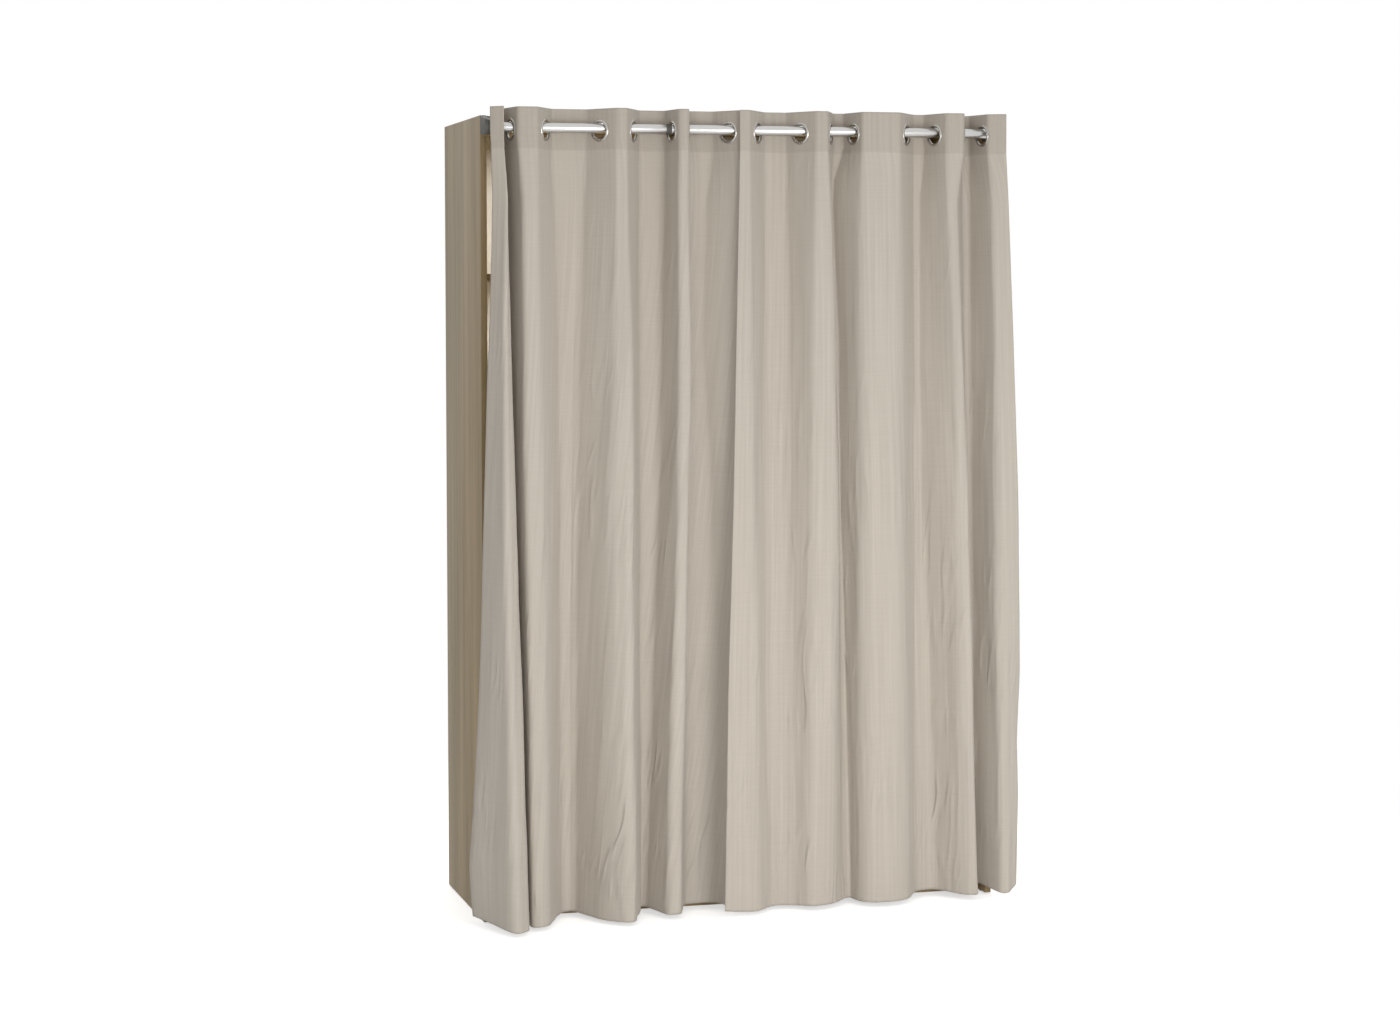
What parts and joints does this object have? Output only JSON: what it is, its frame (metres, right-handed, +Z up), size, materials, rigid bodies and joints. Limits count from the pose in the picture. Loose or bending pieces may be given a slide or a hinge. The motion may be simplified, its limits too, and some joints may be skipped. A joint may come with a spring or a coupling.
{
  "type": "wardrobe",
  "caption": "Free-standing board wardrobe with shelves and a hanging space behind two eyelet curtains that slide on a rod across the front.",
  "frame": {"origin": "on the floor under the middle of the wardrobe, at the underside of the middle glide", "axes": "+X to the right across the front, +Y to the rear, +Z up; the curtains are on the -Y side"},
  "size_m": [1.4404, 0.6832, 2.07],
  "materials": {
    "board": "matt, fine vertical grain",
    "back_board": "smooth, pale",
    "curtain_fabric": "matt, fine woven",
    "rod_metal": "satin",
    "eyelet_metal": "satin",
    "bracket_plastic": "matt grey",
    "trim_plastic": "matt dark grey",
    "zinc_fittings": "zinc plated",
    "dowel_wood": "bare"
  },
  "bodies": {
    "wardrobe": {"side_panel_left": "board", "side_panel_right": "board", "top_panel": "board", "base_panel": "board", "divider": "board", "plinth_front": "board", "plinth_rear": "board", "base_support": "board", "hat_shelf": "board", "upper_shelf": "board", "shelf_1": "board", "shelf_2": "board", "shelf_3": "board", "back_left": "back_board", "back_right": "back_board", "curtain_left": "curtain_fabric", "curtain_right": "curtain_fabric", "rod_tube_left": "rod_metal", "rod_tube_right": "rod_metal", "hanging_rail": "rod_metal", "rod_bracket_left": "bracket_plastic", "rod_bracket_right": "bracket_plastic", "rod_coupling": "bracket_plastic", "rail_sockets": "trim_plastic", "foot_glides": "trim_plastic", "cams": "zinc_fittings", "cam_bolts": "zinc_fittings", "fixing_screws": "zinc_fittings", "shelf_pins": "zinc_fittings", "wall_brackets": "zinc_fittings", "dowels": "dowel_wood", "eyelet_left_1": "eyelet_metal", "eyelet_right_8": "eyelet_metal"},
    "left_eyelet_2": {"eyelet_left_2": "eyelet_metal"},
    "left_eyelet_3": {"eyelet_left_3": "eyelet_metal"},
    "left_eyelet_4": {"eyelet_left_4": "eyelet_metal"},
    "left_eyelet_5": {"eyelet_left_5": "eyelet_metal"},
    "left_eyelet_6": {"eyelet_left_6": "eyelet_metal"},
    "left_eyelet_7": {"eyelet_left_7": "eyelet_metal"},
    "left_eyelet_8": {"eyelet_left_8": "eyelet_metal"},
    "right_eyelet_1": {"eyelet_right_1": "eyelet_metal"},
    "right_eyelet_2": {"eyelet_right_2": "eyelet_metal"},
    "right_eyelet_3": {"eyelet_right_3": "eyelet_metal"},
    "right_eyelet_4": {"eyelet_right_4": "eyelet_metal"},
    "right_eyelet_5": {"eyelet_right_5": "eyelet_metal"},
    "right_eyelet_6": {"eyelet_right_6": "eyelet_metal"},
    "right_eyelet_7": {"eyelet_right_7": "eyelet_metal"}
  },
  "joints": [
    {"name": "left_curtain_draw", "type": "slide", "parent": "wardrobe", "child": "left_eyelet_8", "axis": [-1, 0, 0], "range_m": [0, 0.3295], "deforming": ["curtain_left"]},
    {"name": "right_curtain_draw", "type": "slide", "parent": "wardrobe", "child": "right_eyelet_1", "axis": [1, 0, 0], "range_m": [0, 0.3338], "deforming": ["curtain_right"]},
    {"name": "left_eyelet_2_slide", "type": "slide", "parent": "wardrobe", "child": "left_eyelet_2", "axis": [-1, 0, 0], "range_m": [0, 0.0216]},
    {"name": "left_eyelet_3_slide", "type": "slide", "parent": "wardrobe", "child": "left_eyelet_3", "axis": [-1, 0, 0], "range_m": [0, 0.0694]},
    {"name": "left_eyelet_4_slide", "type": "slide", "parent": "wardrobe", "child": "left_eyelet_4", "axis": [-1, 0, 0], "range_m": [0, 0.1459]},
    {"name": "left_eyelet_5_slide", "type": "slide", "parent": "wardrobe", "child": "left_eyelet_5", "axis": [-1, 0, 0], "range_m": [0, 0.1932]},
    {"name": "left_eyelet_6_slide", "type": "slide", "parent": "wardrobe", "child": "left_eyelet_6", "axis": [-1, 0, 0], "range_m": [0, 0.2481]},
    {"name": "left_eyelet_7_slide", "type": "slide", "parent": "wardrobe", "child": "left_eyelet_7", "axis": [-1, 0, 0], "range_m": [0, 0.2712]},
    {"name": "right_eyelet_2_slide", "type": "slide", "parent": "wardrobe", "child": "right_eyelet_2", "axis": [1, 0, 0], "range_m": [0, 0.2717]},
    {"name": "right_eyelet_3_slide", "type": "slide", "parent": "wardrobe", "child": "right_eyelet_3", "axis": [1, 0, 0], "range_m": [0, 0.2272]},
    {"name": "right_eyelet_4_slide", "type": "slide", "parent": "wardrobe", "child": "right_eyelet_4", "axis": [1, 0, 0], "range_m": [0, 0.1931]},
    {"name": "right_eyelet_5_slide", "type": "slide", "parent": "wardrobe", "child": "right_eyelet_5", "axis": [1, 0, 0], "range_m": [0, 0.1144]},
    {"name": "right_eyelet_6_slide", "type": "slide", "parent": "wardrobe", "child": "right_eyelet_6", "axis": [1, 0, 0], "range_m": [0, 0.0721]},
    {"name": "right_eyelet_7_slide", "type": "slide", "parent": "wardrobe", "child": "right_eyelet_7", "axis": [1, 0, 0], "range_m": [0, 0.0292]}
  ],
  "couplings": [
    {"joint": "left_eyelet_2_slide", "follows": "left_curtain_draw", "ratio": 0.0652},
    {"joint": "left_eyelet_3_slide", "follows": "left_curtain_draw", "ratio": 0.2102},
    {"joint": "left_eyelet_4_slide", "follows": "left_curtain_draw", "ratio": 0.4425},
    {"joint": "left_eyelet_5_slide", "follows": "left_curtain_draw", "ratio": 0.5859},
    {"joint": "left_eyelet_6_slide", "follows": "left_curtain_draw", "ratio": 0.7528},
    {"joint": "left_eyelet_7_slide", "follows": "left_curtain_draw", "ratio": 0.8227},
    {"joint": "right_eyelet_2_slide", "follows": "right_curtain_draw", "ratio": 0.8138},
    {"joint": "right_eyelet_3_slide", "follows": "right_curtain_draw", "ratio": 0.6804},
    {"joint": "right_eyelet_4_slide", "follows": "right_curtain_draw", "ratio": 0.5782},
    {"joint": "right_eyelet_5_slide", "follows": "right_curtain_draw", "ratio": 0.3424},
    {"joint": "right_eyelet_6_slide", "follows": "right_curtain_draw", "ratio": 0.2156},
    {"joint": "right_eyelet_7_slide", "follows": "right_curtain_draw", "ratio": 0.0872}
  ]
}
